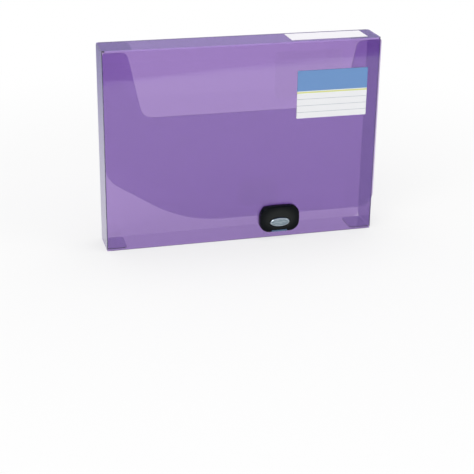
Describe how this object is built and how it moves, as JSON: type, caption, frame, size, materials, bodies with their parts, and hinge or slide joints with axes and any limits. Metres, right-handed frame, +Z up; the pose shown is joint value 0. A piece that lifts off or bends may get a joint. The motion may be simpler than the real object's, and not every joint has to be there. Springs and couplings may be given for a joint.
{
  "type": "document case",
  "caption": "Rigid translucent plastic box file for papers, with a hinged spine and full front flap, dust flaps, a thumb cut and a push-button clasp.",
  "frame": {"origin": "middle of the base wall's underside, at half the closed case's depth without the clasp", "axes": "+X along the long side to the right as seen from the front, +Y from the front flap to the back panel, +Z up to the spine"},
  "size_m": [0.332, 0.0528, 0.2432],
  "materials": {
    "tinted_sheet": "clear violet-tinted polypropylene sheet, glossy, folded",
    "clasp_black": "moulded black ABS, satin gloss",
    "catch_grey": "moulded silver-grey ABS",
    "button_silver": "silver plated moulding, satin",
    "spring_steel": "spring steel strip",
    "printed_label": "white label with a plain blue band, unlettered",
    "paper_label": "white paper label, blank"
  },
  "bodies": {
    "case": {"back_panel": "tinted_sheet", "base_wall": "tinted_sheet", "front_wall": "tinted_sheet", "left_side_wall": "tinted_sheet", "right_side_wall": "tinted_sheet", "left_base_tab": "tinted_sheet", "right_base_tab": "tinted_sheet", "catch_plate": "catch_grey", "catch_backing_plate": "catch_grey", "button_spring": "spring_steel"},
    "spine": {"spine_panel": "tinted_sheet", "spine_label": "paper_label"},
    "flap": {"front_flap": "tinted_sheet", "clasp_cover": "clasp_black", "clasp_backing_plate": "clasp_black", "front_label": "printed_label"},
    "left_dust_flap": {"left_dust_flap": "tinted_sheet"},
    "right_dust_flap": {"right_dust_flap": "tinted_sheet"},
    "button": {"push_button": "button_silver"}
  },
  "joints": [
    {"name": "spine_hinge", "type": "hinge", "parent": "case", "child": "spine", "pos_m": [0, 0.02259, 0.24259], "axis": [-1, 0, 0], "range_deg": [0, 180]},
    {"name": "flap_hinge", "type": "hinge", "parent": "spine", "child": "flap", "pos_m": [0, -0.02259, 0.24259], "axis": [-1, 0, 0], "range_deg": [0, 180]},
    {"name": "left_dust_flap_hinge", "type": "hinge", "parent": "case", "child": "left_dust_flap", "pos_m": [-0.16502, 0.0012, 0.24082], "axis": [0, 1, 0], "range_deg": [0, 75]},
    {"name": "right_dust_flap_hinge", "type": "hinge", "parent": "case", "child": "right_dust_flap", "pos_m": [0.16502, 0.0012, 0.24082], "axis": [0, -1, 0], "range_deg": [0, 75]},
    {"name": "button_press", "type": "slide", "parent": "case", "child": "button", "axis": [0, 1, 0], "range_m": [0, 0.0018], "stiffness_N_per_m": 600, "springref_m": -0.002, "deforming": ["button_spring"]}
  ]
}
